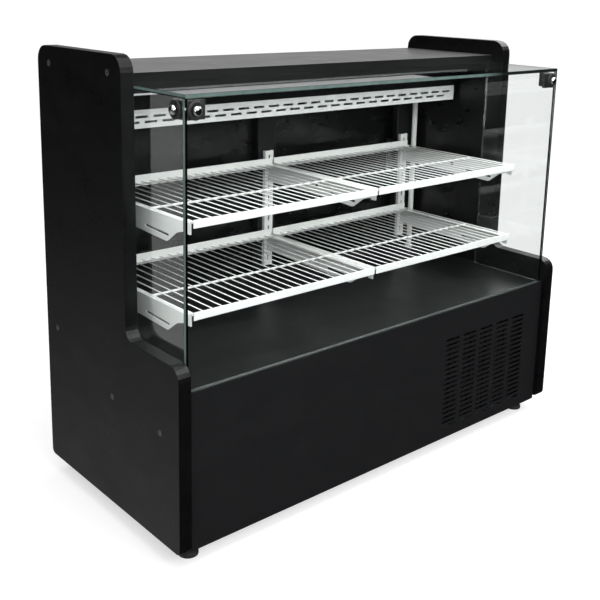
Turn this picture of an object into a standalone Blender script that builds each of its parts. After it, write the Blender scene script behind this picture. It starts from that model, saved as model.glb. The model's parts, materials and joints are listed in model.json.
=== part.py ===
"""Refrigerated deli case: a straight-glass counter display with two tiers of wire shelves.

Metres, +Z up, +X to the right as the customer sees the case, -Y towards the customer.
The origin is on the floor, at the centre of the footprint.
"""

import math

import bmesh
import bpy
from mathutils import Euler, Matrix, Vector

# ---------------------------------------------------------------- driving dimensions
CASE_WIDTH = 1.250
CASE_DEPTH = 0.560
CASE_HEIGHT = 1.040
FOOT_HEIGHT = 0.040
BOARD_FOOT = 0.044
PANEL_FOOT = 0.034
PANEL_THICK = 0.030
LEDGE_HEIGHT = 0.449
UPPER_FRONT_Y = -0.082
DECK_TOP = 0.385
GLASS_THICK = 0.008
GLASS_TOP = 0.971
COVER_TOP = 1.000
COVER_FRONT_Y = -0.045
SHEET = 0.0015
GAP = 0.0003
SHELF_HEIGHTS = {"upper": 0.714, "lower": 0.518}
SHELF_FRONT_Y = -0.187
SHELF_BACK_Y = 0.205
RAIL_X = 0.530

# ---------------------------------------------------------------- derived places
HALF_WIDTH = CASE_WIDTH / 2
INNER_X = HALF_WIDTH - PANEL_THICK
FIT_X = INNER_X - GAP
FRONT_Y = -CASE_DEPTH / 2
BACK_Y = CASE_DEPTH / 2
FRONT_PANEL_Y = FRONT_Y + 0.0145
GLASS_FRONT_Y = FRONT_Y + 0.018
GLASS_BACK_Y = GLASS_FRONT_Y + GLASS_THICK
GLASS_BOTTOM = DECK_TOP + 0.0006
POST_Y = (0.2320, 0.2537)
TRACK_Y = (0.2540, 0.2795)
INNER_DOOR_Y = (0.2555, 0.2645)
OUTER_DOOR_Y = (0.2680, 0.2770)
CEILING_LOW = 0.9575
SILL_LOW = DECK_TOP + 0.0006
RAIL_Y = (0.2220, 0.2317)

bpy.context.preferences.edit.use_global_undo = False
for old in list(bpy.data.objects):
    bpy.data.objects.remove(old, do_unlink=True)

PARTS = bpy.data.collections.new("refrigerated_deli_case")
CUTTERS = bpy.data.collections.new("cutters")
bpy.context.scene.collection.children.link(PARTS)
bpy.context.scene.collection.children.link(CUTTERS)


# ---------------------------------------------------------------- materials
def principled(name, colour, roughness, metallic=0.0, transmission=0.0):
    """A Principled material for one kind of finish."""
    material = bpy.data.materials.new(name)
    material.use_nodes = True
    shader = material.node_tree.nodes["Principled BSDF"]
    shader.inputs["Base Color"].default_value = (*colour, 1.0)
    shader.inputs["Roughness"].default_value = roughness
    shader.inputs["Metallic"].default_value = metallic
    shader.inputs["Transmission Weight"].default_value = transmission
    return material


BLACK_BOARD = principled("black_board", (0.012, 0.012, 0.014), 0.35)
BLACK_STEEL = principled("black_steel", (0.010, 0.011, 0.012), 0.30)
BLACK_PLASTIC = principled("black_plastic", (0.010, 0.010, 0.010), 0.45)
WHITE_STEEL = principled("white_steel", (0.80, 0.81, 0.80), 0.35)
WHITE_PLASTIC = principled("white_plastic", (0.85, 0.85, 0.83), 0.40)
CLEAR_GLASS = principled("clear_glass", (0.85, 0.95, 0.92), 0.02, 0.0, 1.0)
CHROME = principled("chrome", (0.80, 0.80, 0.82), 0.08, 1.0)
ALUMINIUM = principled("aluminium", (0.70, 0.71, 0.72), 0.35, 1.0)
GALVANISED = principled("galvanised", (0.55, 0.57, 0.58), 0.40, 1.0)
COMPRESSOR_BLACK = principled("compressor_black", (0.02, 0.02, 0.02), 0.30, 0.4)
RUBBER = principled("rubber", (0.02, 0.02, 0.02), 0.80)
FOAM = principled("foam", (0.75, 0.68, 0.45), 0.90)


# ---------------------------------------------------------------- shape helpers
def link(name, mesh, material, location=(0, 0, 0), rotation=(0, 0, 0), collection=None):
    """An object for a mesh or a curve, with its material and place."""
    piece = bpy.data.objects.new(name, mesh)
    piece.location = location
    piece.rotation_euler = rotation
    if material is not None:
        mesh.materials.append(material)
    (collection or PARTS).objects.link(piece)
    return piece


def as_cutter(piece):
    """Moves a piece to the cutters, where it is only a Boolean operand."""
    for collection in list(piece.users_collection):
        collection.objects.unlink(piece)
    CUTTERS.objects.link(piece)
    piece.hide_render = True
    piece.display_type = "WIRE"
    return piece


def boolean(piece, operand, operation):
    """Cuts or joins a piece with an operand that isn't a part of its own."""
    modifier = piece.modifiers.new(operation.lower(), "BOOLEAN")
    modifier.operation = operation
    modifier.solver = "EXACT"
    modifier.object = as_cutter(operand)
    return piece


def cut(piece, operand):
    return boolean(piece, operand, "DIFFERENCE")


def join(piece, operand):
    return boolean(piece, operand, "UNION")


def bevel(piece, width, segments=2, angle=40):
    modifier = piece.modifiers.new("bevel", "BEVEL")
    modifier.width = width
    modifier.segments = segments
    modifier.limit_method = "ANGLE"
    modifier.angle_limit = math.radians(angle)
    return piece


def array(piece, count, step):
    """Repeats a cutter at a fixed step; the copies stay apart."""
    modifier = piece.modifiers.new("array", "ARRAY")
    modifier.count = count
    modifier.use_relative_offset = False
    modifier.use_constant_offset = True
    modifier.constant_offset_displace = step
    return piece


def box(name, low, high, material=None):
    """A box between two corners, with its origin at its centre."""
    low, high = Vector(low), Vector(high)
    size = high - low
    cage = bmesh.new()
    bmesh.ops.create_cube(cage, size=1.0, matrix=Matrix.Diagonal((*size, 1.0)))
    mesh = bpy.data.meshes.new(name)
    cage.to_mesh(mesh)
    cage.free()
    return link(name, mesh, material, (low + high) / 2)


def turned(name, profile, material, location=(0, 0, 0), rotation=(0, 0, 0), steps=24):
    """A turned piece: a profile of (radius, height) points, from the top down its outer side."""
    cage = bmesh.new()
    points = [cage.verts.new((radius, 0.0, height)) for radius, height in profile]
    for first, second in zip(points, points[1:]):
        cage.edges.new((first, second))
    mesh = bpy.data.meshes.new(name)
    cage.to_mesh(mesh)
    cage.free()
    piece = link(name, mesh, material, location, rotation)
    screw = piece.modifiers.new("screw", "SCREW")
    screw.steps = steps
    screw.render_steps = steps
    screw.use_merge_vertices = True
    screw.merge_threshold = 0.00001
    screw.use_smooth_shade = True
    return piece


def cylinder(name, radius, length, material, location, rotation=(0, 0, 0), steps=20):
    """A plain cylinder whose middle is at its origin."""
    half = length / 2
    profile = ((0, half), (radius, half), (radius, -half), (0, -half))
    return turned(name, profile, material, location, rotation, steps)


def rounded(corners, arc_points=5):
    """An outline whose corners, given as (u, v, radius), become arcs."""
    outline = []
    for index, (u, v, radius) in enumerate(corners):
        corner = Vector((u, v))
        if radius <= 0:
            outline.append(corner)
            continue
        before = (Vector(corners[index - 1][:2]) - corner).normalized()
        after = (Vector(corners[(index + 1) % len(corners)][:2]) - corner).normalized()
        half_angle = before.angle(after) / 2
        centre = corner + (before + after).normalized() * (radius / math.sin(half_angle))
        reach = radius / math.tan(half_angle)
        start = corner + before * reach - centre
        end = corner + after * reach - centre
        turn = start.angle_signed(end)
        for step in range(arc_points + 1):
            outline.append(centre + Matrix.Rotation(-turn * step / arc_points, 2) @ start)
    return outline


# An outline's local x, y and z, turned into the plane that the outline is drawn in
STANDING_YZ = Matrix(((0, 0, 1), (1, 0, 0), (0, 1, 0))).to_euler()
STANDING_XZ = Euler((math.radians(90), 0, 0))
LYING_XY = Euler((0, 0, 0))


def plate(name, outline, thick, centre, plane, material=None):
    """A flat outline given half its thickness each way, as a mesh that can be cut."""
    curve = bpy.data.curves.new(name, "CURVE")
    curve.dimensions = "2D"
    curve.fill_mode = "BOTH"
    curve.extrude = thick / 2
    spline = curve.splines.new("POLY")
    spline.points.add(len(outline) - 1)
    for point, (u, v) in zip(spline.points, outline):
        point.co = (u, v, 0.0, 1.0)
    spline.use_cyclic_u = True
    drawn = link(name + "_outline", curve, None, centre, plane)
    bpy.context.view_layer.update()
    graph = bpy.context.evaluated_depsgraph_get()
    mesh = bpy.data.meshes.new_from_object(drawn.evaluated_get(graph))
    cage = bmesh.new()
    cage.from_mesh(mesh)
    bmesh.ops.remove_doubles(cage, verts=cage.verts, dist=0.00002)
    bmesh.ops.recalc_face_normals(cage, faces=cage.faces)
    cage.to_mesh(mesh)
    cage.free()
    mesh.name = name
    piece = link(name, mesh, material)
    piece.matrix_world = drawn.matrix_world
    bpy.data.objects.remove(drawn, do_unlink=True)
    return piece


def folded_sheet(name, profile, low_x, high_x, material, thick=SHEET):
    """Sheet metal folded along X: a profile of (y, z) points through the sheet's middle."""
    cage = bmesh.new()
    start = [cage.verts.new((low_x, y, z)) for y, z in profile]
    edges = [cage.edges.new(pair) for pair in zip(start, start[1:])]
    drawn = bmesh.ops.extrude_edge_only(cage, edges=edges)["geom"]
    moved = [item for item in drawn if isinstance(item, bmesh.types.BMVert)]
    bmesh.ops.translate(cage, verts=moved, vec=(high_x - low_x, 0, 0))
    mesh = bpy.data.meshes.new(name)
    cage.to_mesh(mesh)
    cage.free()
    piece = link(name, mesh, material)
    solidify = piece.modifiers.new("solidify", "SOLIDIFY")
    solidify.thickness = thick
    solidify.offset = 0.0
    solidify.use_even_offset = True
    return piece


# ---------------------------------------------------------------- end panels
def end_panel(name, side):
    """A tall board with a low front ledge and rounded corners."""
    foot_radius, ledge_radius, inner_radius, top_radius = 0.012, 0.030, 0.028, 0.035
    corners = (
        (BACK_Y, BOARD_FOOT, foot_radius),
        (BACK_Y, CASE_HEIGHT, top_radius),
        (UPPER_FRONT_Y, CASE_HEIGHT, top_radius),
        (UPPER_FRONT_Y, LEDGE_HEIGHT, inner_radius),
        (FRONT_Y, LEDGE_HEIGHT, ledge_radius),
        (FRONT_Y, BOARD_FOOT, foot_radius),
    )
    middle = side * (INNER_X + PANEL_THICK / 2)
    board = plate(name, rounded(corners), PANEL_THICK, (middle, 0, 0), STANDING_YZ, BLACK_BOARD)
    return bevel(board, 0.0015, 2)


# ---------------------------------------------------------------- base cabinet
GRILLE_LEFT, GRILLE_RIGHT = 0.195, 0.519
GRILLE_LOW, GRILLE_HIGH = 0.062, 0.308
GRILLE_COLUMNS, GRILLE_ROWS = 5, 19
SLOT_WIDTH, SLOT_HEIGHT = 0.052, 0.0060


def front_panel():
    """The black front sheet, with the condenser's air slots punched in its right end."""
    lip = 0.018
    high = DECK_TOP - SHEET / 2
    low = PANEL_FOOT + SHEET / 2
    profile = (
        (FRONT_PANEL_Y + lip, high),
        (FRONT_PANEL_Y, high),
        (FRONT_PANEL_Y, low),
        (FRONT_PANEL_Y + lip, low),
    )
    panel = folded_sheet("front_panel", profile, -FIT_X, FIT_X, BLACK_STEEL)
    column_step = (GRILLE_RIGHT - GRILLE_LEFT - SLOT_WIDTH) / (GRILLE_COLUMNS - 1)
    row_step = (GRILLE_HIGH - GRILLE_LOW - SLOT_HEIGHT) / (GRILLE_ROWS - 1)
    slot = box(
        "front_panel_slots",
        (GRILLE_LEFT, FRONT_PANEL_Y - 0.005, GRILLE_LOW),
        (GRILLE_LEFT + SLOT_WIDTH, FRONT_PANEL_Y + 0.005, GRILLE_LOW + SLOT_HEIGHT),
    )
    array(slot, GRILLE_COLUMNS, (column_step, 0, 0))
    array(slot, GRILLE_ROWS, (0, 0, row_step))
    return cut(panel, slot)


def deck():
    """The black product deck that closes the base, folded down at both edges, on its insulation."""
    depth = 0.028
    high = DECK_TOP - SHEET / 2
    profile = (
        (FRONT_PANEL_Y + 0.0195, high - depth),
        (FRONT_PANEL_Y + 0.0195, high),
        (BACK_Y - 0.0025, high),
        (BACK_Y - 0.0025, high - depth),
    )
    folded_sheet("deck_panel", profile, -FIT_X, FIT_X, BLACK_STEEL)
    box(
        "deck_insulation",
        (-FIT_X + 0.002, FRONT_PANEL_Y + 0.022, DECK_TOP - 0.025),
        (FIT_X - 0.002, BACK_Y - 0.005, DECK_TOP - SHEET - GAP),
        FOAM,
    )


BACK_PANEL_Y = 0.2500
BACK_PANEL_LOW, BACK_PANEL_HIGH = 0.100, 0.343


def back_panel():
    """The rear service panel of the base, louvred beside the compressor."""
    panel = box(
        "base_back_panel",
        (-FIT_X, BACK_PANEL_Y, BACK_PANEL_LOW),
        (FIT_X, BACK_PANEL_Y + SHEET, BACK_PANEL_HIGH),
        BLACK_STEEL,
    )
    louvre = box(
        "back_panel_slots",
        (0.070, BACK_PANEL_Y - 0.004, 0.130),
        (0.160, BACK_PANEL_Y + 0.006, 0.136),
    )
    array(louvre, 2, (0.105, 0, 0))
    array(louvre, 9, (0, 0, 0.020))
    return cut(panel, louvre)


def base_floor():
    """The galvanised floor pan that carries the compressor, folded up at its front edge."""
    middle = FOOT_HEIGHT + 0.0013
    profile = (
        (FRONT_PANEL_Y + 0.0215, middle + 0.018),
        (FRONT_PANEL_Y + 0.0215, middle),
        (BACK_Y - 0.010, middle),
    )
    return folded_sheet("base_floor", profile, -FIT_X, FIT_X, GALVANISED)


FLOOR_TOP = FOOT_HEIGHT + 0.0013 + SHEET / 2


# ---------------------------------------------------------------- top and rear frame
def top_cover():
    """The folded black cover between the end panels; its front fold is the fascia."""
    high = COVER_TOP - SHEET / 2
    low = 0.9600
    profile = (
        (COVER_FRONT_Y + 0.012, low + SHEET / 2),
        (COVER_FRONT_Y + SHEET / 2, low + SHEET / 2),
        (COVER_FRONT_Y + SHEET / 2, high),
        (BACK_Y - 0.0015, high),
        (BACK_Y - 0.0015, low + 0.002),
    )
    folded_sheet("top_cover", profile, -FIT_X, FIT_X, BLACK_STEEL)
    box(
        "ceiling_liner",
        (-FIT_X, COVER_FRONT_Y + 0.001, CEILING_LOW),
        (FIT_X, BACK_Y - 0.0045, CEILING_LOW + 0.0020),
        BLACK_STEEL,
    )


POST_WIDTH = 0.0850
MULLION_HALF = 0.030


def rear_frame():
    """Posts for the shelf rails, and the grooved tracks that the rear doors run in."""
    low, high = SILL_LOW, CEILING_LOW - GAP
    spans = {
        "rear_stile_left": (-FIT_X, -FIT_X + POST_WIDTH),
        "rear_mullion": (-MULLION_HALF, MULLION_HALF),
        "rear_stile_right": (FIT_X - POST_WIDTH, FIT_X),
    }
    for name, (left, right) in spans.items():
        bevel(box(name, (left, POST_Y[0], low), (right, POST_Y[1], high), BLACK_STEEL), 0.0015, 1)
    track("rear_header", high - 0.032, high, -1)
    track("rear_sill", low, low + 0.0165, 1)


def track(name, low, high, open_side):
    """A door track: a bar with two grooves, open downwards (-1) or upwards (1)."""
    slack = 0.0006
    groove = 0.0125 if open_side < 0 else 0.0080
    lip, floor = (low, low + groove) if open_side < 0 else (high, high - groove)
    flat = high if open_side < 0 else low
    outline = [(TRACK_Y[0], flat), (TRACK_Y[0], lip)]
    for door in (INNER_DOOR_Y, OUTER_DOOR_Y):
        outline += [(door[0] - slack, lip), (door[0] - slack, floor)]
        outline += [(door[1] + slack, floor), (door[1] + slack, lip)]
    outline += [(TRACK_Y[1], lip), (TRACK_Y[1], flat)]
    return plate(name, outline, 2 * FIT_X, (0, 0, 0), STANDING_YZ, ALUMINIUM)


# ---------------------------------------------------------------- rear sliding doors
DOOR_LOW = SILL_LOW + 0.0165 - 0.0080 + GAP
DOOR_HIGH = CEILING_LOW - GAP - 0.032 + 0.0090
DOOR_WIDTH = 0.604
DOOR_LAP = 0.012
PULL_SIZE = (0.024, 0.110)


def rear_door(name, side, span_y):
    """A sliding leaf with a raised border and a flush pull near its outer edge."""
    outer = side * (DOOR_WIDTH - DOOR_LAP)
    inner = -side * DOOR_LAP
    left, right = min(outer, inner), max(outer, inner)
    leaf = box(name + "_leaf", (left, span_y[0], DOOR_LOW), (right, span_y[1], DOOR_HIGH), BLACK_PLASTIC)
    border, recess = 0.034, 0.0015
    for tag, low_y, high_y in (
        ("_front_recess", span_y[0] - 0.01, span_y[0] + recess),
        ("_back_recess", span_y[1] - recess, span_y[1] + 0.01),
    ):
        pocket = box(
            name + tag,
            (left + border + 0.012, low_y, DOOR_LOW + border),
            (right - border - 0.012, high_y, DOOR_HIGH - border),
        )
        cut(leaf, pocket)
    pull_x = outer - side * 0.075
    middle_z = 0.67
    half_width, half_height = PULL_SIZE[0] / 2, PULL_SIZE[1] / 2
    hole = box(
        name + "_pull_hole",
        (pull_x - half_width - GAP, span_y[0] - 0.01, middle_z - half_height - GAP),
        (pull_x + half_width + GAP, span_y[1] + 0.01, middle_z + half_height + GAP),
    )
    cut(leaf, hole)
    pull = box(
        name + "_pull",
        (pull_x - half_width, span_y[0] + recess, middle_z - half_height),
        (pull_x + half_width, span_y[1], middle_z + half_height),
        ALUMINIUM,
    )
    rim = 0.0020
    pocket = box(
        name + "_pull_pocket",
        (pull_x - half_width + rim, span_y[0] + recess + 0.0012, middle_z - half_height + rim),
        (pull_x + half_width - rim, span_y[1] + 0.01, middle_z + half_height - rim),
    )
    cut(pull, pocket)


# ---------------------------------------------------------------- glass
KNOB_INSET = 0.024
KNOB_Z = GLASS_TOP - 0.023
STEM_RADIUS = 0.0045
HOLE_RADIUS = 0.0052


def glass():
    """Front, side and top panes; the front and side panes are drilled for the corner knobs."""
    front = box(
        "front_glass",
        (-FIT_X, GLASS_FRONT_Y, GLASS_BOTTOM),
        (FIT_X, GLASS_BACK_Y, GLASS_TOP),
        CLEAR_GLASS,
    )
    for side in (-1, 1):
        across = side * (INNER_X - KNOB_INSET)
        cut(front, cylinder("front_hole", HOLE_RADIUS, 0.03, None, (across, GLASS_FRONT_Y, KNOB_Z),
                            (math.radians(90), 0, 0), 12))
    side_back = -0.030
    for name, side in (("side_glass_left", -1), ("side_glass_right", 1)):
        inner, outer = sorted((side * (FIT_X - GLASS_THICK), side * FIT_X))
        pane = box(
            name,
            (inner, GLASS_BACK_Y + GAP, GLASS_BOTTOM),
            (outer, side_back, CEILING_LOW - GAP),
            CLEAR_GLASS,
        )
        wing = box(
            name + "_front",
            (inner, GLASS_BACK_Y + GAP, CEILING_LOW - 0.02),
            (outer, COVER_FRONT_Y - 0.001, GLASS_TOP),
        )
        join(pane, wing)
        cut(pane, cylinder(name + "_hole", HOLE_RADIUS, 0.03, None,
                           (side * FIT_X, GLASS_BACK_Y + KNOB_INSET, KNOB_Z),
                           (0, math.radians(90), 0), 12))
    box(
        "top_glass",
        (-FIT_X, GLASS_FRONT_Y, GLASS_TOP + GAP),
        (FIT_X, COVER_FRONT_Y - GAP, GLASS_TOP + GAP + GLASS_THICK),
        CLEAR_GLASS,
    )


def corner_clip(name, side):
    """A black angle block inside a front top corner of the glass, with a chrome knob on each pane."""
    side_x = FIT_X - GLASS_THICK - GAP
    leg, thick = 0.042, 0.007
    front_y = GLASS_BACK_Y + GAP
    outline = [
        (side * side_x, front_y),
        (side * side_x, front_y + leg),
        (side * (side_x - thick), front_y + leg),
        (side * (side_x - thick), front_y + thick),
        (side * (side_x - leg), front_y + thick),
        (side * (side_x - leg), front_y),
    ]
    block = plate(name, outline, 0.038, (0, 0, KNOB_Z), LYING_XY, BLACK_PLASTIC)
    bevel(block, 0.0015, 1)
    stem_end = GLASS_THICK + GAP
    profile = (
        (0, 0.0135),
        (0.0050, 0.0125),
        (0.0088, 0.0095),
        (0.0100, 0.0060),
        (0.0080, 0.0040),
        (0.0190, 0.0036),
        (0.0195, 0.0003),
        (STEM_RADIUS, 0.0003),
        (STEM_RADIUS, -stem_end + GAP),
        (0, -stem_end + GAP),
    )
    tag = name.replace("corner_clip", "clip_knob")
    turned(tag + "_front", profile, CHROME, (side * (INNER_X - KNOB_INSET), GLASS_FRONT_Y, KNOB_Z),
           (math.radians(90), 0, 0), 20)
    turned(tag + "_side", profile, CHROME, (side * FIT_X, GLASS_BACK_Y + KNOB_INSET, KNOB_Z),
           (0, side * math.radians(90), 0), 20)


# ---------------------------------------------------------------- shelves
def shelf_rail(name, centre_x):
    """A white slotted upright that the brackets hook into."""
    half, low, high = 0.014, 0.425, 0.745
    rail = box(name, (centre_x - half, RAIL_Y[0], low), (centre_x + half, RAIL_Y[1], high), WHITE_STEEL)
    hollow = box(
        name + "_hollow",
        (centre_x - half + 0.002, RAIL_Y[0] + 0.002, low - 0.01),
        (centre_x + half - 0.002, RAIL_Y[1] + 0.01, high + 0.01),
    )
    cut(rail, hollow)
    slot = box(
        name + "_slots",
        (centre_x - 0.0022, RAIL_Y[0] - 0.004, low + 0.0145),
        (centre_x + 0.0022, RAIL_Y[0] + 0.005, low + 0.0285),
    )
    array(slot, 11, (0, 0, 0.028))
    return cut(rail, slot)


def bracket(name, centre_x, shelf_top, side):
    """A cantilever bracket: a pressed plate with a flange that the shelves rest on."""
    flange_top = shelf_top - 0.0050 - GAP
    thick = 0.0020
    top = flange_top - 0.0010
    rear = RAIL_Y[0] - GAP
    nose = SHELF_FRONT_Y + 0.0050
    outline = rounded(
        (
            (rear, top, 0),
            (rear, shelf_top - 0.0500, 0.006),
            (-0.010, shelf_top - 0.0560, 0.030),
            (-0.105, shelf_top - 0.0600, 0.012),
            (-0.140, shelf_top - 0.0340, 0.012),
            (nose + 0.016, shelf_top - 0.0265, 0),
            (nose + 0.016, shelf_top - 0.0305, 0.002),
            (nose, shelf_top - 0.0305, 0.002),
            (nose, top, 0),
        ),
        4,
    )
    piece = plate(name, outline, thick, (centre_x, 0, 0), STANDING_YZ, WHITE_STEEL)
    reach = 0.0120
    left = centre_x - (reach if side >= 0 else thick / 2)
    right = centre_x + (reach if side <= 0 else thick / 2)
    join(piece, box(name + "_flange", (left, SHELF_FRONT_Y + 0.012, top - 0.0005),
                    (right, SHELF_BACK_Y - 0.012, flange_top)))
    lower_slot = rounded(
        (
            (-0.020, shelf_top - 0.0450, 0.0028),
            (-0.020, shelf_top - 0.0388, 0.0028),
            (-0.112, shelf_top - 0.0428, 0.0028),
            (-0.112, shelf_top - 0.0490, 0.0028),
        ),
        3,
    )
    cut(piece, plate(name + "_slot", lower_slot, 0.012, (centre_x, 0, 0), STANDING_YZ))
    cut(piece, cylinder(name + "_hole", 0.0065, 0.012, None, (centre_x, 0.030, shelf_top - 0.030),
                        (0, math.radians(90), 0), 12))
    return piece


WIRE = 0.0050
WIRE_COUNT = 21
STRIP = 0.0030


def half_shelf(name, left, right, shelf_top):
    """A lift-off wire deck: wires front to back between two upright edge strips."""
    front, back = SHELF_FRONT_Y, SHELF_BACK_Y
    low = shelf_top - WIRE
    mesh_deck = box(name, (left, front, low), (right, back, shelf_top), WHITE_STEEL)
    step = (right - left - WIRE) / WIRE_COUNT
    split = (front + back) / 2 - 0.041
    for tag, slot_front, slot_back in (
        ("_front_gaps", front + 0.008, split - WIRE / 2),
        ("_back_gaps", split + WIRE / 2, back - 0.008),
    ):
        gap = box(
            name + tag,
            (left + WIRE, slot_front, low - 0.004),
            (left + step, slot_back, shelf_top + 0.004),
        )
        array(gap, WIRE_COUNT, (step, 0, 0))
        cut(mesh_deck, gap)
    front_strip = box(name + "_front_strip", (left, front - STRIP, shelf_top - 0.016),
                      (right, front + 0.001, shelf_top + 0.002))
    back_strip = box(name + "_back_strip", (left, back - 0.001, shelf_top - 0.013),
                     (right, back + STRIP, shelf_top + 0.014))
    join(mesh_deck, front_strip)
    join(mesh_deck, back_strip)
    return mesh_deck


def shelving():
    edge = RAIL_X - 0.0015
    middle = 0.0025
    for tag, centre_x in (("left", -RAIL_X), ("centre", 0.0), ("right", RAIL_X)):
        shelf_rail("shelf_rail_" + tag, centre_x)
    for tier, shelf_top in SHELF_HEIGHTS.items():
        bracket(tier + "_bracket_left", -RAIL_X, shelf_top, -1)
        bracket(tier + "_bracket_centre", 0.0, shelf_top, 0)
        bracket(tier + "_bracket_right", RAIL_X, shelf_top, 1)
        half_shelf(tier + "_shelf_left", -edge, -middle, shelf_top)
        half_shelf(tier + "_shelf_right", middle, edge, shelf_top)


# ---------------------------------------------------------------- evaporator under the top
HOUSING_X = 0.578
HOUSING_FRONT_Y = 0.080
HOUSING_LOW = 0.863
EVAPORATOR_FAN_Y = 0.200
EVAPORATOR_FAN_X = 0.290
EVAPORATOR_FAN_Z = 0.912


def evaporator():
    """The white slotted air housing, with the coil and its drain tube."""
    low = HOUSING_LOW + SHEET / 2
    profile = (
        (0.2290, CEILING_LOW - 0.004),
        (0.2290, low),
        (HOUSING_FRONT_Y, low),
        (HOUSING_FRONT_Y, low + 0.040),
        (HOUSING_FRONT_Y + 0.040, CEILING_LOW - 0.004),
    )
    housing = folded_sheet("evaporator_housing", profile, -HOUSING_X, HOUSING_X, WHITE_STEEL)
    for tag, start_x, height in (("_low_slots", -0.560, 0.0100), ("_high_slots", -0.537, 0.0220)):
        slot = box(
            "housing" + tag,
            (start_x, HOUSING_FRONT_Y - 0.005, low + height),
            (start_x + 0.032, HOUSING_FRONT_Y + 0.005, low + height + 0.0055),
        )
        array(slot, 24, (0.0463, 0, 0))
        cut(housing, slot)
    for side in (-1, 1):
        motor_y = (EVAPORATOR_FAN_Y + 0.0095 + 0.2290) / 2
        motor = cylinder("housing_motor", 0.017, 0.2290 - EVAPORATOR_FAN_Y - 0.0095, None,
                         (side * EVAPORATOR_FAN_X, motor_y, EVAPORATOR_FAN_Z), (math.radians(90), 0, 0), 14)
        join(housing, motor)
    fins = 26
    left, right = -0.520, 0.500
    front, back, web = 0.116, 0.172, 0.004
    pitch = (right - left) / fins
    outline = []
    for index in range(fins):
        start = left + index * pitch
        outline += [(start, front), (start + pitch * 0.35, front)]
        outline += [(start + pitch * 0.35, (front + back) / 2 - web), (start + pitch, (front + back) / 2 - web)]
    outline += [(right, (front + back) / 2 + web)]
    for index in reversed(range(fins)):
        start = left + index * pitch
        outline += [(start + pitch * 0.35, (front + back) / 2 + web), (start + pitch * 0.35, back)]
        outline += [(start, back), (start, (front + back) / 2 + web)]
    outline.pop()
    coil_height = 0.062
    coil_middle = HOUSING_LOW + SHEET + GAP + coil_height / 2
    plate("evaporator_coil", outline, coil_height, (0, 0, coil_middle), LYING_XY, ALUMINIUM)
    drain_low, drain_high = GLASS_BOTTOM, HOUSING_LOW - GAP
    cylinder("drain_tube", 0.0080, drain_high - drain_low, WHITE_PLASTIC,
             (0.566, 0.2150, (drain_low + drain_high) / 2), (0, 0, 0), 12)


def impeller(name, radius, hub_radius, depth, blades, location, material, chord):
    """An axial fan wheel on the Y axis: a hub with flat pitched blades."""
    half = depth / 2
    hub_profile = ((0, half), (hub_radius * 0.8, half), (hub_radius, half * 0.7), (hub_radius, -half), (0, -half))
    quarter = math.radians(90)
    wheel = turned(name, hub_profile, material, location, (quarter, 0, 0), 16)
    for index in range(blades):
        turn = math.tau * index / blades
        blade = box(name + f"_blade_{index}", (-chord / 2, -0.0008, 0), (chord / 2, 0.0008, radius - hub_radius * 0.6))
        reach = Matrix.Translation((0, 0, (radius - hub_radius * 0.6) / 2 + hub_radius * 0.6))
        pitch = Matrix.Rotation(math.radians(28), 4, "Z")
        spin = Matrix.Rotation(turn, 4, "Y")
        blade.matrix_world = Matrix.Translation(location) @ spin @ pitch @ reach
        join(wheel, blade)
    return wheel


# ---------------------------------------------------------------- condensing unit
UNIT_X = (GRILLE_LEFT + GRILLE_RIGHT) / 2
UNIT_Z = 0.185


def condensing_unit():
    """Condenser, fan and compressor behind the grille, and the pan that catches the defrost water."""
    fins = 14
    left, right = UNIT_X - 0.145, UNIT_X + 0.145
    front, back, web = -0.238, -0.188, 0.005
    pitch = (right - left) / fins
    middle = (front + back) / 2
    outline = []
    for index in range(fins):
        start = left + index * pitch
        outline += [(start, front), (start + pitch * 0.3, front)]
        outline += [(start + pitch * 0.3, middle - web), (start + pitch, middle - web)]
    outline += [(right, middle + web)]
    for index in reversed(range(fins)):
        start = left + index * pitch
        outline += [(start + pitch * 0.3, middle + web), (start + pitch * 0.3, back)]
        outline += [(start, back), (start, middle + web)]
    outline.pop()
    plate("condenser_coil", outline, 0.240, (0, 0, FLOOR_TOP + GAP + 0.120), LYING_XY, ALUMINIUM)
    impeller("condenser_fan", 0.100, 0.024, 0.028, 5, (UNIT_X, -0.150, UNIT_Z), BLACK_PLASTIC, 0.055)
    motor = cylinder("condenser_fan_motor", 0.034, 0.050, COMPRESSOR_BLACK, (UNIT_X, -0.105, UNIT_Z),
                     (math.radians(90), 0, 0), 16)
    join(motor, cylinder("motor_shaft", 0.005, 0.012, None, (UNIT_X, -0.1297, UNIT_Z), (math.radians(90), 0, 0), 12))
    join(motor, box("motor_stand", (UNIT_X - 0.025, -0.110, FLOOR_TOP + GAP), (UNIT_X + 0.025, -0.107, UNIT_Z)))
    join(motor, box("motor_foot", (UNIT_X - 0.030, -0.1085, FLOOR_TOP + GAP), (UNIT_X + 0.030, -0.080, FLOOR_TOP + 0.003)))
    pot = (
        (0, 0.200),
        (0.034, 0.197),
        (0.062, 0.184),
        (0.077, 0.160),
        (0.080, 0.118),
        (0.086, 0.115),
        (0.086, 0.108),
        (0.080, 0.105),
        (0.079, 0.030),
        (0.066, 0.012),
        (0.100, 0.010),
        (0.100, 0.000),
        (0.058, 0.000),
        (0.058, 0.150),
        (0, 0.160),
    )
    turned("compressor", pot, COMPRESSOR_BLACK, (UNIT_X, 0.070, FLOOR_TOP + GAP), (0, 0, 0), 24)
    pan = box("evaporation_tray", (-0.240, -0.040, FLOOR_TOP + GAP), (0.100, 0.245, FLOOR_TOP + 0.040), GALVANISED)
    cut(pan, box("tray_hollow", (-0.238, -0.038, FLOOR_TOP + 0.0025), (0.098, 0.243, FLOOR_TOP + 0.060)))


# ---------------------------------------------------------------- rear controls
CONTROL_Y = BACK_PANEL_Y + SHEET + GAP
CONTROL_FACE = 0.2620


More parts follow.
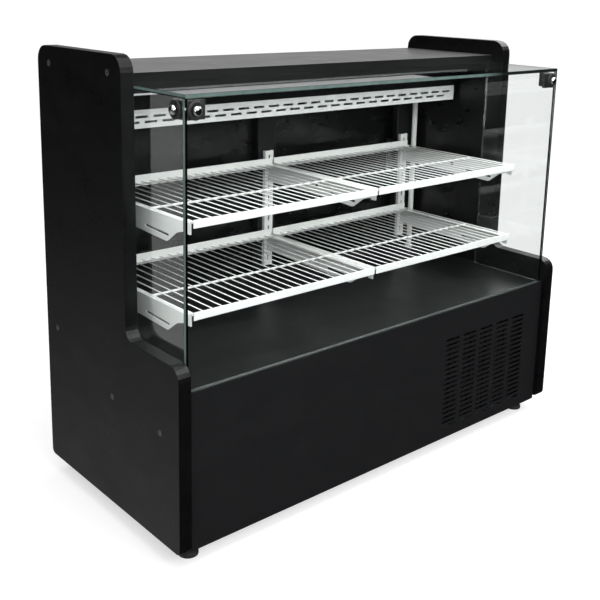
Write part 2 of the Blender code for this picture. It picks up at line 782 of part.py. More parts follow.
def controls():
    """The rear control plate with its thermostat knob and light switch, and the supply cable's gland."""
    plate_low, plate_high = (0.340, CONTROL_Y, 0.262), (0.540, CONTROL_FACE, 0.332)
    panel = bevel(box("control_plate", plate_low, plate_high, BLACK_PLASTIC), 0.002, 2)
    cut(panel, box("switch_window", (0.4690, CONTROL_Y + 0.002, 0.2835), (0.5010, CONTROL_FACE + 0.01, 0.3105)))
    knob = (
        (0, 0.0140),
        (0.0150, 0.0140),
        (0.0165, 0.0125),
        (0.0180, 0.0020),
        (0.0180, 0.0003),
        (0, 0.0003),
    )
    dial = turned("thermostat_knob", knob, BLACK_PLASTIC, (0.400, CONTROL_FACE, 0.297), (math.radians(-90), 0, 0), 20)
    join(dial, box("knob_pointer", (0.3988, CONTROL_FACE + 0.006, 0.297), (0.4012, CONTROL_FACE + 0.0148, 0.3135)))
    outline = ((-0.0125, -0.0040), (0.0125, -0.0040), (0.0125, 0.0045), (0.0, 0.0025), (-0.0125, 0.0075))
    flipped = [(v, u) for u, v in reversed(outline)]
    plate("light_switch", flipped, 0.028, (0.485, CONTROL_FACE, 0.297), STANDING_YZ, WHITE_PLASTIC)
    gland = (
        (0, 0.0180),
        (0.0075, 0.0180),
        (0.0090, 0.0150),
        (0.0090, 0.0070),
        (0.0130, 0.0068),
        (0.0130, 0.0003),
        (0, 0.0003),
    )
    turned("cable_gland", gland, BLACK_PLASTIC, (0.500, BACK_PANEL_Y + SHEET, 0.140), (math.radians(-90), 0, 0), 16)


# ---------------------------------------------------------------- lamp and feet
def lamp():
    """The LED strip under the front of the ceiling."""
    strip = box("led_lamp", (-0.550, 0.004, CEILING_LOW - 0.0110), (0.550, 0.030, CEILING_LOW - GAP), WHITE_PLASTIC)
    return bevel(strip, 0.003, 2)


FOOT_X, FOOT_Y = 0.565, 0.222


def levelling_foot(name, across, along):
    """A rubber-soled levelling foot with its hex nut, turned on its own vertical axis."""
    high = FOOT_HEIGHT - GAP
    profile = (
        (0, high),
        (0.0060, high),
        (0.0060, 0.0260),
        (0.0110, 0.0255),
        (0.0110, 0.0180),
        (0.0160, 0.0160),
        (0.0220, 0.0060),
        (0.0220, 0.0000),
        (0, 0.0000),
    )
    return turned(name, profile, RUBBER, (across, along, 0), (0, 0, 0), 18)


def build():
    end_panel("end_panel_left", -1)
    end_panel("end_panel_right", 1)
    front_panel()
    deck()
    back_panel()
    base_floor()
    top_cover()
    rear_frame()
    rear_door("door_left", -1, INNER_DOOR_Y)
    rear_door("door_right", 1, OUTER_DOOR_Y)
    glass()
    corner_clip("corner_clip_left", -1)
    corner_clip("corner_clip_right", 1)
    shelving()
    evaporator()
    for tag, side in (("left", -1), ("right", 1)):
        place = (side * EVAPORATOR_FAN_X, EVAPORATOR_FAN_Y, EVAPORATOR_FAN_Z)
        impeller("evaporator_fan_" + tag, 0.036, 0.011, 0.016, 5, place, WHITE_PLASTIC, 0.020)
    condensing_unit()
    controls()
    lamp()
    for row, along in (("front", -FOOT_Y), ("rear", FOOT_Y)):
        for tag, side in (("left", -1), ("right", 1)):
            levelling_foot(f"foot_{row}_{tag}", side * FOOT_X, along)


build()
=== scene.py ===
"""Looks of the refrigerated deli case: finishes, wire decks, fittings, lights and camera.

Metres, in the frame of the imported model: +X right, -Y towards the customer, +Z up.
"""

import json
import math

import bmesh
import bpy
from mathutils import Matrix, Vector

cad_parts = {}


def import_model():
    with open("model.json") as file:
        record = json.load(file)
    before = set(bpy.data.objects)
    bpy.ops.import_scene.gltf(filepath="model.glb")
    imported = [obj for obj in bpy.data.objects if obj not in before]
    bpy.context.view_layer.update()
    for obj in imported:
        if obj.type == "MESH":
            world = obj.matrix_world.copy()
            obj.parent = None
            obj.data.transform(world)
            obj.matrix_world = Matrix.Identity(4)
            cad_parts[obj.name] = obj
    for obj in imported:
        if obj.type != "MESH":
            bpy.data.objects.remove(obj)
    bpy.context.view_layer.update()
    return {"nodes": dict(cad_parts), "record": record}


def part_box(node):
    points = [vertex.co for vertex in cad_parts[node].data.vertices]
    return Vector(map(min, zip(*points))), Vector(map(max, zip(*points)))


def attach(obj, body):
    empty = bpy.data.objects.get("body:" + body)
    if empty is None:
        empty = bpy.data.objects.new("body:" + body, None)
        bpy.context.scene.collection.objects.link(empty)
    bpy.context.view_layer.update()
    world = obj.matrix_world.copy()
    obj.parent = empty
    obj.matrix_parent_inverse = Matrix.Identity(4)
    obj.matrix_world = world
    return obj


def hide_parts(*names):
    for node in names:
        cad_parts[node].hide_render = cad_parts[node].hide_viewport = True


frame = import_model()
SCENE = bpy.context.scene
CASE = "case"


# ---------------------------------------------------------------- material helpers
class Finish:
    """A Principled material with a few helpers for procedural detail."""

    def __init__(self, name, colour, roughness, metallic=0.0):
        self.material = bpy.data.materials.new(name)
        self.material.use_nodes = True
        self.tree = self.material.node_tree
        self.shader = self.tree.nodes["Principled BSDF"]
        self.output = self.tree.nodes["Material Output"]
        self.colour = colour
        self.shader.inputs["Base Color"].default_value = (*colour, 1.0)
        self.shader.inputs["Roughness"].default_value = roughness
        self.shader.inputs["Metallic"].default_value = metallic
        self.roughness = roughness
        self.coordinates = self.node("ShaderNodeTexCoord").outputs["Object"]
        self.normal = None

    def node(self, kind, **settings):
        made = self.tree.nodes.new(kind)
        for key, value in settings.items():
            setattr(made, key, value)
        return made

    def wire(self, source, target):
        self.tree.links.new(source, target)

    def noise(self, scale, detail=3.0, stretch=(1, 1, 1), roughness=0.55):
        """Noise at a number of features a metre, stretched along the axes."""
        mapping = self.node("ShaderNodeMapping")
        mapping.inputs["Scale"].default_value = stretch
        self.wire(self.coordinates, mapping.inputs["Vector"])
        noise = self.node("ShaderNodeTexNoise")
        noise.inputs["Scale"].default_value = scale
        noise.inputs["Detail"].default_value = detail
        noise.inputs["Roughness"].default_value = roughness
        self.wire(mapping.outputs["Vector"], noise.inputs["Vector"])
        return noise.outputs["Fac"]

    def cells(self, scale, feature="F1"):
        voronoi = self.node("ShaderNodeTexVoronoi", feature=feature)
        voronoi.inputs["Scale"].default_value = scale
        self.wire(self.coordinates, voronoi.inputs["Vector"])
        return voronoi

    def ramp(self, source, low, high, start=0.0, end=1.0):
        """Maps a value's range onto another range."""
        mapped = self.node("ShaderNodeMapRange")
        for key, value in (("From Min", start), ("From Max", end), ("To Min", low), ("To Max", high)):
            mapped.inputs[key].default_value = value
        self.wire(source, mapped.inputs["Value"])
        return mapped.outputs["Result"]

    def mix(self, amount, first, second):
        """A colour between two, each a tuple or another node's colour."""
        mixed = self.node("ShaderNodeMix", data_type="RGBA")
        self.wire(amount, mixed.inputs["Factor"])
        for socket, colour in ((mixed.inputs[6], first), (mixed.inputs[7], second)):
            if isinstance(colour, tuple):
                socket.default_value = (*colour, 1.0)
            else:
                self.wire(colour, socket)
        return mixed.outputs[2]

    def paint(self, colour):
        self.wire(colour, self.shader.inputs["Base Color"])

    def polish(self, value):
        self.wire(value, self.shader.inputs["Roughness"])

    def bump(self, height, depth, strength=1.0):
        """Adds relief of a depth in metres on top of any relief already there."""
        bump = self.node("ShaderNodeBump")
        bump.inputs["Strength"].default_value = strength
        bump.inputs["Distance"].default_value = depth
        self.wire(height, bump.inputs["Height"])
        if self.normal is not None:
            self.wire(self.normal, bump.inputs["Normal"])
        self.normal = bump.outputs["Normal"]
        self.wire(self.normal, self.shader.inputs["Normal"])

    def coat(self, weight, roughness):
        self.shader.inputs["Coat Weight"].default_value = weight
        self.shader.inputs["Coat Roughness"].default_value = roughness


def painted(name, colour, roughness, peel_scale, peel_depth, dust, dust_colour=(0.30, 0.29, 0.27)):
    """Sprayed or powder-coated surface: orange peel, uneven gloss and a trace of dust."""
    finish = Finish(name, colour, roughness)
    finish.bump(finish.noise(peel_scale, 2.0), peel_depth)
    smudge = finish.noise(9.0, 5.0, (1, 1, 2.2))
    finish.polish(finish.ramp(smudge, roughness - 0.06, roughness + 0.07, 0.3, 0.7))
    specks = finish.noise(55.0, 6.0, roughness=0.7)
    soft = finish.ramp(specks, 0.0, dust, 0.45, 0.85)
    finish.paint(finish.mix(soft, colour, dust_colour))
    return finish


def black_board():
    """Black laminated board with a fine leathery press and faint wiping marks."""
    finish = painted("laminated_board", (0.0018, 0.0019, 0.0023), 0.30, 1500.0, 0.00004, 0.006)
    pores = finish.cells(2600.0)
    finish.bump(pores.outputs["Distance"], 0.00003)
    return finish.material


def black_sheet():
    finish = painted("powder_coated_black", (0.0078, 0.0080, 0.0088), 0.36, 900.0, 0.00005, 0.008)
    return finish.material


def deck_sheet():
    """The deck is glossier than the front, with fine cleaning scratches."""
    finish = painted("enamelled_deck", (0.0042, 0.0048, 0.0050), 0.34, 700.0, 0.00002, 0.012)
    scratches = finish.noise(260.0, 2.0, (1, 14, 1))
    finish.bump(scratches, 0.000008)
    return finish.material


def cover_sheet():
    finish = painted("powder_coated_cover", (0.0100, 0.0104, 0.0110), 0.34, 900.0, 0.00003, 0.03)
    finish.coat(0.25, 0.22)
    # Up-facing faces are painted lighter grey: a painted reflection of the bright backdrop at a grazing
    # angle, partly dust. The other faces take a darker colour.
    facing = finish.node("ShaderNodeNewGeometry")
    split = finish.node("ShaderNodeSeparateXYZ")
    finish.wire(facing.outputs["Normal"], split.inputs["Vector"])
    top_dust_and_sheen = finish.ramp(split.outputs["Z"], 0.0, 1.0, 0.6, 0.95)
    # film sets how light the painted sheen and dust on the top faces are.
    film = finish.ramp(finish.noise(12.0, 5.0), 0.105, 0.135, 0.35, 0.7)
    dust_and_sheen = finish.mix(film, (0.0, 0.0, 0.0), (1.0, 1.0, 1.0))
    finish.paint(finish.mix(top_dust_and_sheen, (0.0035, 0.0037, 0.0041), dust_and_sheen))
    return finish.material


def door_skin():
    finish = painted("door_laminate", (0.0026, 0.0029, 0.0032), 0.26, 900.0, 0.00002, 0.004)
    finish.coat(0.3, 0.10)
    return finish.material


def frame_profile():
    """Black anodised aluminium, drawn along its length."""
    finish = Finish("black_anodised", (0.007, 0.007, 0.008), 0.34, 0.10)
    drawn = finish.noise(180.0, 3.0, (0.06, 1.0, 1.0))
    finish.bump(drawn, 0.00004)
    finish.polish(finish.ramp(drawn, 0.28, 0.44, 0.3, 0.7))
    finish.paint(finish.mix(finish.noise(16.0), (0.005, 0.005, 0.006), (0.010, 0.010, 0.011)))
    return finish.material


def track_profile():
    finish = Finish("worn_track", (0.05, 0.05, 0.055), 0.36, 0.8)
    drawn = finish.noise(240.0, 3.0, (0.04, 1.0, 1.0))
    finish.bump(drawn, 0.00004)
    finish.paint(finish.mix(finish.ramp(drawn, 0, 1, 0.4, 0.8), (0.035, 0.035, 0.038), (0.16, 0.16, 0.17)))
    finish.polish(finish.ramp(drawn, 0.28, 0.46, 0.3, 0.7))
    return finish.material


def white_coat():
    """White epoxy powder coat on sheet and wire, a little creamy where it has aged."""
    finish = Finish("white_powder_coat", (0.80, 0.81, 0.80), 0.34)
    finish.bump(finish.noise(650.0, 2.0), 0.00007)
    aged = finish.ramp(finish.noise(7.0, 5.0), 0.0, 1.0, 0.35, 0.75)
    finish.paint(finish.mix(aged, (0.88, 0.885, 0.88), (0.80, 0.805, 0.79)))
    finish.polish(finish.ramp(finish.noise(30.0, 4.0), 0.28, 0.42, 0.3, 0.7))
    return finish.material


def white_plastic():
    finish = Finish("white_plastic", (0.82, 0.82, 0.80), 0.42)
    finish.bump(finish.noise(1100.0, 2.0), 0.00004)
    finish.paint(finish.mix(finish.noise(22.0, 4.0), (0.84, 0.84, 0.82), (0.77, 0.77, 0.74)))
    finish.shader.inputs["Subsurface Weight"].default_value = 0.08
    return finish.material


def lamp_diffuser():
    finish = Finish("lamp_diffuser", (0.86, 0.87, 0.86), 0.35)
    ribs = finish.noise(500.0, 1.0, (1.0, 0.02, 0.02))
    finish.bump(ribs, 0.00010)
    finish.paint(finish.mix(ribs, (0.86, 0.87, 0.86), (0.80, 0.81, 0.80)))
    finish.shader.inputs["Emission Color"].default_value = (0.93, 0.97, 1.0, 1.0)
    finish.shader.inputs["Emission Strength"].default_value = LAMP_GLOW
    return finish.material


def clear_glass():
    """Float glass: its body tints light green over a long way, and lamps shine through it."""
    finish = Finish("float_glass", (1.0, 1.0, 1.0), 0.0)
    finish.shader.inputs["Transmission Weight"].default_value = 1.0
    finish.shader.inputs["IOR"].default_value = 1.50
    finish.shader.inputs["Roughness"].default_value = 0.0
    finish.bump(finish.noise(3.0, 1.0), 0.0004, 0.25)
    clear = finish.node("ShaderNodeBsdfTransparent")
    clear.inputs["Color"].default_value = (0.965, 0.975, 0.970, 1.0)
    ray = finish.node("ShaderNodeLightPath")
    mixed = finish.node("ShaderNodeMixShader")
    finish.wire(ray.outputs["Is Shadow Ray"], mixed.inputs["Fac"])
    finish.wire(finish.shader.outputs["BSDF"], mixed.inputs[1])
    finish.wire(clear.outputs["BSDF"], mixed.inputs[2])
    finish.wire(mixed.outputs["Shader"], finish.output.inputs["Surface"])
    tint = finish.node("ShaderNodeVolumeAbsorption")
    tint.inputs["Color"].default_value = (0.30, 0.78, 0.62, 1.0)
    tint.inputs["Density"].default_value = 3.0
    finish.wire(tint.outputs["Volume"], finish.output.inputs["Volume"])
    return finish.material


def chrome():
    finish = Finish("chrome_plate", (0.78, 0.79, 0.81), 0.07, 1.0)
    haze = finish.noise(120.0, 5.0)
    finish.polish(finish.ramp(haze, 0.04, 0.16, 0.35, 0.75))
    finish.bump(finish.noise(900.0), 0.00001)
    return finish.material


def zinc():
    """Galvanised or zinc-plated steel with its spangle."""
    finish = Finish("zinc_plate", (0.52, 0.54, 0.56), 0.38, 0.9)
    spangle = finish.cells(110.0)
    shade = finish.ramp(spangle.outputs["Color"], 0.0, 1.0)
    finish.paint(finish.mix(shade, (0.42, 0.44, 0.46), (0.60, 0.62, 0.64)))
    finish.polish(finish.ramp(shade, 0.28, 0.50))
    finish.bump(finish.noise(350.0), 0.00003)
    return finish.material


def fins():
    """Stacked aluminium fins with a fine pitch; the dark bands between them are painted shade in the gaps.
    """
    finish = Finish("aluminium_fins", (0.60, 0.61, 0.63), 0.36, 0.85)
    wave = finish.node("ShaderNodeTexWave", wave_type="BANDS", bands_direction="X")
    wave.inputs["Scale"].default_value = 130.0
    wave.inputs["Distortion"].default_value = 0.4
    finish.wire(finish.coordinates, wave.inputs["Vector"])
    finish.bump(wave.outputs["Fac"], 0.0007)
    # The low bands of the wave are painted dark: painted shade in the gaps between fins.
    finish.paint(finish.mix(wave.outputs["Fac"], (0.20, 0.205, 0.21), (0.62, 0.63, 0.65)))
    return finish.material


def condenser_fins():
    """The condenser is sprayed black over its fins; the darker bands are painted shade in the gaps between
    fins.
    """
    finish = Finish("sprayed_fins", (0.02, 0.02, 0.022), 0.5)
    wave = finish.node("ShaderNodeTexWave", wave_type="BANDS", bands_direction="X")
    wave.inputs["Scale"].default_value = 130.0
    finish.wire(finish.coordinates, wave.inputs["Vector"])
    finish.bump(wave.outputs["Fac"], 0.0007)
    # The low bands of the wave are painted darker: painted shade in the gaps between fins.
    finish.paint(finish.mix(wave.outputs["Fac"], (0.004, 0.004, 0.005), (0.030, 0.031, 0.033)))
    return finish.material


def brushed_aluminium():
    finish = Finish("brushed_aluminium", (0.62, 0.63, 0.65), 0.30, 1.0)
    brushed = finish.noise(420.0, 3.0, (1.0, 1.0, 0.03))
    finish.bump(brushed, 0.00003)
    finish.polish(finish.ramp(brushed, 0.24, 0.42, 0.3, 0.7))
    finish.paint(finish.mix(brushed, (0.56, 0.57, 0.59), (0.68, 0.69, 0.71)))
    return finish.material


def machine_paint():
    """Gloss black enamel with warehouse dust on it."""
    finish = painted("machine_enamel", (0.014, 0.014, 0.015), 0.25, 240.0, 0.00012, 0.30)
    finish.coat(0.4, 0.15)
    return finish.material


def moulded_black():
    finish = Finish("moulded_black", (0.013, 0.013, 0.014), 0.45)
    grain = finish.cells(1400.0)
    finish.bump(grain.outputs["Distance"], 0.00008)
    finish.polish(finish.ramp(finish.noise(40.0, 4.0), 0.36, 0.55, 0.3, 0.7))
    finish.paint(finish.mix(finish.noise(25.0, 4.0), (0.011, 0.011, 0.012), (0.020, 0.020, 0.021)))
    return finish.material


def screw_cap():
    """Moulded cap, a shade lighter than the board."""
    finish = Finish("screw_cap", (0.03, 0.03, 0.032), 0.22)
    finish.bump(finish.noise(420.0, 2.0), 0.00008)
    finish.paint(finish.mix(finish.noise(300.0, 3.0), (0.010, 0.010, 0.011), (0.075, 0.076, 0.08)))
    return finish.material


def rubber():
    finish = Finish("foot_rubber_surface", (0.016, 0.016, 0.016), 0.75)
    finish.bump(finish.noise(700.0, 4.0), 0.00020)
    scuffs = finish.ramp(finish.noise(45.0, 6.0), 0.0, 0.6, 0.5, 0.85)
    finish.paint(finish.mix(scuffs, (0.015, 0.015, 0.015), (0.085, 0.08, 0.075)))
    return finish.material


def foam():
    finish = Finish("foam_core", (0.70, 0.60, 0.35), 0.85)
    bubbles = finish.cells(420.0)
    finish.bump(bubbles.outputs["Distance"], 0.0006)
    # The pits made by the bump are painted darker: painted shade inside the foam cells.
    finish.paint(finish.mix(bubbles.outputs["Distance"], (0.60, 0.50, 0.28), (0.78, 0.70, 0.45)))
    return finish.material


def copper():
    finish = Finish("copper_pipe", (0.62, 0.30, 0.18), 0.30, 1.0)
    tarnish = finish.ramp(finish.noise(60.0, 5.0), 0.0, 1.0, 0.4, 0.75)
    finish.paint(finish.mix(tarnish, (0.66, 0.33, 0.20), (0.30, 0.15, 0.09)))
    finish.polish(finish.ramp(tarnish, 0.24, 0.50))
    finish.bump(finish.noise(240.0), 0.00005)
    return finish.material


def sealant():
    """Translucent silicone along the foot of the glass."""
    finish = Finish("clear_silicone", (0.10, 0.12, 0.12), 0.30)
    finish.bump(finish.noise(220.0, 3.0), 0.0004)
    finish.paint(finish.mix(finish.noise(95.0, 3.0), (0.012, 0.016, 0.016), (0.15, 0.17, 0.165)))
    finish.shader.inputs["Specular IOR Level"].default_value = 0.6
    return finish.material


def ground_edge():
    """The ground edge of a pane, which shows the green of its body; towards the right end it is painted
    dark as painted shade.
    """
    finish = Finish("ground_glass_edge", (0.11, 0.17, 0.155), 0.35)
    streaks = finish.noise(60.0, 4.0, (1, 1, 0.15))
    lit = finish.mix(streaks, (0.050, 0.085, 0.075), (0.15, 0.215, 0.200))
    # Past x 0.27 to 0.36 the lit edge colour gives way to near black: painted shade where no light comes
    # through the edge.
    across = finish.node("ShaderNodeSeparateXYZ")
    finish.wire(finish.coordinates, across.inputs["Vector"])
    right_end_shade = finish.ramp(across.outputs["X"], 0.0, 1.0, 0.27, 0.36)
    finish.paint(finish.mix(right_end_shade, lit, (0.006, 0.009, 0.009)))
    finish.bump(finish.noise(900.0, 2.0), 0.00003)
    return finish.material


LAMP_GLOW = 0.35
LOOKS = {
    "end_board": black_board(),
    "black_sheet": black_sheet(),
    "frame_black": frame_profile(),
    "track_black": track_profile(),
    "door_black": door_skin(),
    "pull_metal": brushed_aluminium(),
    "glass": clear_glass(),
    "clip_black": moulded_black(),
    "knob_chrome": chrome(),
    "white_steel": white_coat(),
    "white_plastic": white_plastic(),
    "coil_metal": fins(),
    "galvanised": zinc(),
    "machine_black": machine_paint(),
    "black_plastic": moulded_black(),
    "foam": foam(),
    "foot_rubber": rubber(),
}
DECK = deck_sheet()
COVER = cover_sheet()
COPPER = copper()
SEALANT = sealant()
EDGE = ground_edge()
CONDENSER = condenser_fins()
CAP = screw_cap()
DIFFUSER = lamp_diffuser()


def dress_frame():
    """Gives every CAD node the finish of its slot, and a few their own."""
    special = {"deck_panel": DECK, "top_cover": COVER, "led_lamp": DIFFUSER, "condenser_coil": CONDENSER}
    for entry in frame["record"]["subparts"]:
        node = entry["node"]
        piece = frame["nodes"][node]
        material = special.get(node, LOOKS[entry["material_slot"]])
        piece.data.materials.clear()
        piece.data.materials.append(material)


# ---------------------------------------------------------------- shape helpers
def add(name, mesh, material, body):
    """A piece that rides on a body and takes its finish from a slot."""
    mesh.name = name
    mesh.materials.append(material)
    piece = bpy.data.objects.new(name, mesh)
    SCENE.collection.objects.link(piece)
    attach(piece, body)
    return piece


def from_cage(name, cage, material, body, smooth=False):
    mesh = bpy.data.meshes.new(name)
    bmesh.ops.recalc_face_normals(cage, faces=cage.faces)
    cage.to_mesh(mesh)
    cage.free()
    if smooth:
        mesh.shade_smooth()
    return add(name, mesh, material, body)


def round_edges(piece, width, segments=3):
    bevel = piece.modifiers.new("edges", "BEVEL")
    bevel.width = width
    bevel.segments = segments
    bevel.limit_method = "ANGLE"
    bevel.harden_normals = False
    return piece


def put_box(cage, low, high):
    low, high = Vector(low), Vector(high)
    matrix = Matrix.Translation((low + high) / 2) @ Matrix.Diagonal((*(high - low), 1.0))
    bmesh.ops.create_cube(cage, size=1.0, matrix=matrix)


def put_rod(cage, start, end, radius, sides=10, dome=0.35):
    """A round bar with softly domed ends."""
    start, end = Vector(start), Vector(end)
    axis = (end - start).normalized()
    turn = axis.to_track_quat("Z", "Y").to_matrix()
    rings = []
    for along, share in ((-dome, 0.55), (0.0, 1.0)):
        rings.append((start + axis * radius * along, share))
    for along, share in ((0.0, 1.0), (dome, 0.55)):
        rings.append((end + axis * radius * along, share))
    loops = []
    for centre, share in rings:
        loop = []
        for index in range(sides):
            angle = math.tau * index / sides
            offset = Vector((math.cos(angle), math.sin(angle), 0)) * radius * share
            loop.append(cage.verts.new(centre + turn @ offset))
        loops.append(loop)
    for lower, upper in zip(loops, loops[1:]):
        for index in range(sides):
            following = (index + 1) % sides
            cage.faces.new((lower[index], lower[following], upper[following], upper[index])).smooth = True
    cage.faces.new(list(reversed(loops[0])))
    cage.faces.new(loops[-1])


def put_turned(cage, profile, place, steps=32):
    """A closed turned shape from (radius, height) points, bottom to top, put down by a matrix."""
    loops = []
    for radius, height in profile:
        if radius == 0:
            loops.append([cage.verts.new(place @ Vector((0, 0, height)))])
            continue
        loop = []
        for index in range(steps):
            angle = math.tau * index / steps
            point = Vector((math.cos(angle) * radius, math.sin(angle) * radius, height))
            loop.append(cage.verts.new(place @ point))
        loops.append(loop)
    for lower, upper in zip(loops, loops[1:]):
        for index in range(steps):
            following = (index + 1) % steps
            corners = [lower[index % len(lower)], lower[following % len(lower)]]
            corners += [upper[following % len(upper)], upper[index % len(upper)]]
            unique = list(dict.fromkeys(corners))
            cage.faces.new(unique).smooth = True


def pipe(name, points, radius, material, body=CASE):
    """A bent tube through a few points, with rounded bends."""
    curve = bpy.data.curves.new(name, "CURVE")
    curve.dimensions = "3D"
    curve.bevel_depth = radius
    curve.bevel_resolution = 3
    curve.resolution_u = 8
    curve.use_fill_caps = True
    spline = curve.splines.new("NURBS")
    spline.points.add(len(points) - 1)
    for point, place in zip(spline.points, points):
        point.co = (*place, 1.0)
    spline.use_endpoint_u = True
    spline.order_u = 3
    curve.materials.append(material)
    piece = bpy.data.objects.new(name, curve)
    SCENE.collection.objects.link(piece)
    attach(piece, body)
    return piece


# ---------------------------------------------------------------- wire decks
WIRE_RADIUS = 0.0013
ROD_RADIUS = 0.0026
STRIP = 0.0030
WIRES = 22
MID_ROD_Y = -0.032


def wire_deck(node, body):
    """Wires laid front to back over cross rods, welded between two flat upright strips."""
    low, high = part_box(node)
    back_top = high.z
    shelf_top = back_top - 0.0140
    front_low = low.z
    cage = bmesh.new()
    left, right = low.x + WIRE_RADIUS, high.x - WIRE_RADIUS
    wire_z = shelf_top - WIRE_RADIUS
    start_y, end_y = low.y + STRIP * 0.6, high.y - STRIP * 0.6
    for index in range(WIRES):
        x = left + (right - left) * index / (WIRES - 1)
        put_rod(cage, (x, start_y, wire_z), (x, end_y, wire_z), WIRE_RADIUS, 8, 0.0)
    rod_z = wire_z - WIRE_RADIUS - ROD_RADIUS + 0.0006
    for y in (low.y + 0.0075, MID_ROD_Y, high.y - 0.0075):
        put_rod(cage, (left - WIRE_RADIUS, y, rod_z), (right + WIRE_RADIUS, y, rod_z), ROD_RADIUS, 10, 0.3)
    wires = from_cage(node + "_wires", cage, LOOKS["white_steel"], body)
    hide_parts(node)
    cage = bmesh.new()
    put_box(cage, (low.x, low.y, front_low), (high.x, low.y + STRIP, shelf_top + 0.002))
    put_box(cage, (low.x, high.y - STRIP, shelf_top - 0.013), (high.x, high.y, back_top))
    strips = from_cage(node + "_strips", cage, LOOKS["white_steel"], body)
    round_edges(strips, 0.0012, 3)


def shelves():
    for tier in ("upper", "lower"):
        for side in ("left", "right"):
            wire_deck(f"{tier}_shelf_{side}", f"shelf_{tier}_{side}")


# ---------------------------------------------------------------- glass fittings
def glass_knobs():
    """Black washers under chrome domes, one on each pane at both front top corners."""
    dome = (
        (0.0, 0.0036),
        (0.0095, 0.0036),
        (0.0102, 0.0044),
        (0.0102, 0.0064),
        (0.0094, 0.0092),
        (0.0072, 0.0114),
        (0.0040, 0.0129),
        (0.0, 0.0134),
    )
    washer = (
        (0.0, 0.0002),
        (0.0172, 0.0002),
        (0.0186, 0.0006),
        (0.0191, 0.0016),
        (0.0184, 0.0030),
        (0.0150, 0.0040),
        (0.0120, 0.0034),
        (0.0112, 0.0022),
        (0.0, 0.0022),
    )
    stem = ((0.0, -0.0078), (0.0044, -0.0078), (0.0044, 0.0030), (0.0, 0.0030))
    for side in ("left", "right"):
        for pane in ("front", "side"):
            node = f"clip_knob_{side}_{pane}"
            low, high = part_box(node)
            middle = (low + high) / 2
            if pane == "front":
                place = Matrix.Translation((middle.x, high.y - 0.0080, middle.z))
                place = place @ Matrix.Rotation(math.radians(90), 4, "X")
            else:
                sign = 1 if side == "right" else -1
                root = low.x + 0.0080 if sign > 0 else high.x - 0.0080
                place = Matrix.Translation((root, middle.y, middle.z))
                place = place @ Matrix.Rotation(sign * math.radians(90), 4, "Y")
            cage = bmesh.new()
            put_turned(cage, dome, place, 36)
            piece = from_cage(node + "_dome", cage, LOOKS["knob_chrome"], CASE)
            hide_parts(node)
            cage = bmesh.new()
            put_turned(cage, washer, place, 36)
            from_cage(node + "_washer", cage, LOOKS["clip_black"], CASE)
            cage = bmesh.new()
            put_turned(cage, stem, place, 20)
            from_cage(node + "_stem", cage, LOOKS["knob_chrome"], CASE)


def clip_screws():
    """The chrome nuts on the inside of each corner block."""
    nut = ((0.0, 0.0), (0.0070, 0.0), (0.0070, 0.0024), (0.0058, 0.0034), (0.0, 0.0034))
    for side, sign in (("left", -1), ("right", 1)):
        low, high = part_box(f"corner_clip_{side}")
        knob_low, knob_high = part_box(f"clip_knob_{side}_front")
        front_x = (knob_low.x + knob_high.x) / 2
        middle_z = (low.z + high.z) / 2
        thick = 0.007
        facing = Matrix.Rotation(math.radians(-90), 4, "X")
        place = Matrix.Translation((front_x, low.y + thick, middle_z)) @ facing
        cage = bmesh.new()
        put_turned(cage, nut, place, 6)
        knob_low, knob_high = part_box(f"clip_knob_{side}_side")
        side_y = (knob_low.y + knob_high.y) / 2
        root = low.x + thick if sign < 0 else high.x - thick
        facing = Matrix.Rotation(-sign * math.radians(90), 4, "Y")
        place = Matrix.Translation((root, side_y, middle_z)) @ facing
        put_turned(cage, nut, place, 6)
        from_cage(f"clip_nuts_{side}", cage, LOOKS["knob_chrome"], CASE)


def glass_edges():
    """The ground and polished edges of the front pane and of the top pane."""
    film = 0.00022
    low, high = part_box("front_glass")
    inset = 0.0006
    cage = bmesh.new()
    for x in (low.x - film, high.x):
        put_box(cage, (x, low.y + inset, low.z + inset), (x + film, high.y - inset, high.z - inset))
    low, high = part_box("top_glass")
    put_box(cage, (low.x + inset, low.y - film, low.z + inset), (high.x - inset, low.y, high.z - inset))
    for x in (low.x - film, high.x):
        put_box(cage, (x, low.y + inset, low.z + 0.0022), (x + film, high.y - inset, high.z - inset))
    from_cage("ground_glass_edges", cage, EDGE, CASE)


def glass_seals():
    """Beads of silicone along the foot of the front and side panes."""
    low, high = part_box("front_glass")
    radius = 0.0010
    rise = 0.0014
    cage = bmesh.new()
    for inset, y in ((0.003, low.y - 0.0004), (0.01, high.y + 0.0008)):
        start = (low.x + inset, y, low.z + rise)
        end = (high.x - inset, y, low.z + rise)
        put_rod(cage, start, end, radius, 8)
    from_cage("front_glass_seal", cage, SEALANT, CASE)
    for side, sign in (("left", -1), ("right", 1)):
        low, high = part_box(f"side_glass_{side}")
        inner = high.x + 0.0008 if sign < 0 else low.x - 0.0008
        start = (inner, low.y + 0.004, low.z + rise)
        end = (inner, high.y - 0.004, low.z + rise)
        cage = bmesh.new()
        put_rod(cage, start, end, radius, 8)
        from_cage(f"side_glass_seal_{side}", cage, SEALANT, CASE)


# ---------------------------------------------------------------- end boards
CAP_PLACES = ((0.227, 1.002), (-0.030, 1.002), (0.230, 0.383), (-0.020, 0.300), (-0.210, 0.290))


def screw_caps():
    """Low domed caps over the fixing screws in the outer faces of the end boards."""
    cap = (
        (0.0, -0.0006),
        (0.0072, -0.0006),
        (0.0072, 0.0001),
        (0.0060, 0.0003),
        (0.0036, 0.0004),
        (0.0, 0.0004),
    )
    for side, sign in (("left", -1), ("right", 1)):
        low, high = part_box(f"end_panel_{side}")
        face = high.x if sign > 0 else low.x
        cage = bmesh.new()
        for y, z in CAP_PLACES:
            place = Matrix.Translation((face, y, z)) @ Matrix.Rotation(sign * math.radians(90), 4, "Y")
            put_turned(cage, cap, place, 24)
        from_cage(f"screw_caps_{side}", cage, CAP, CASE)


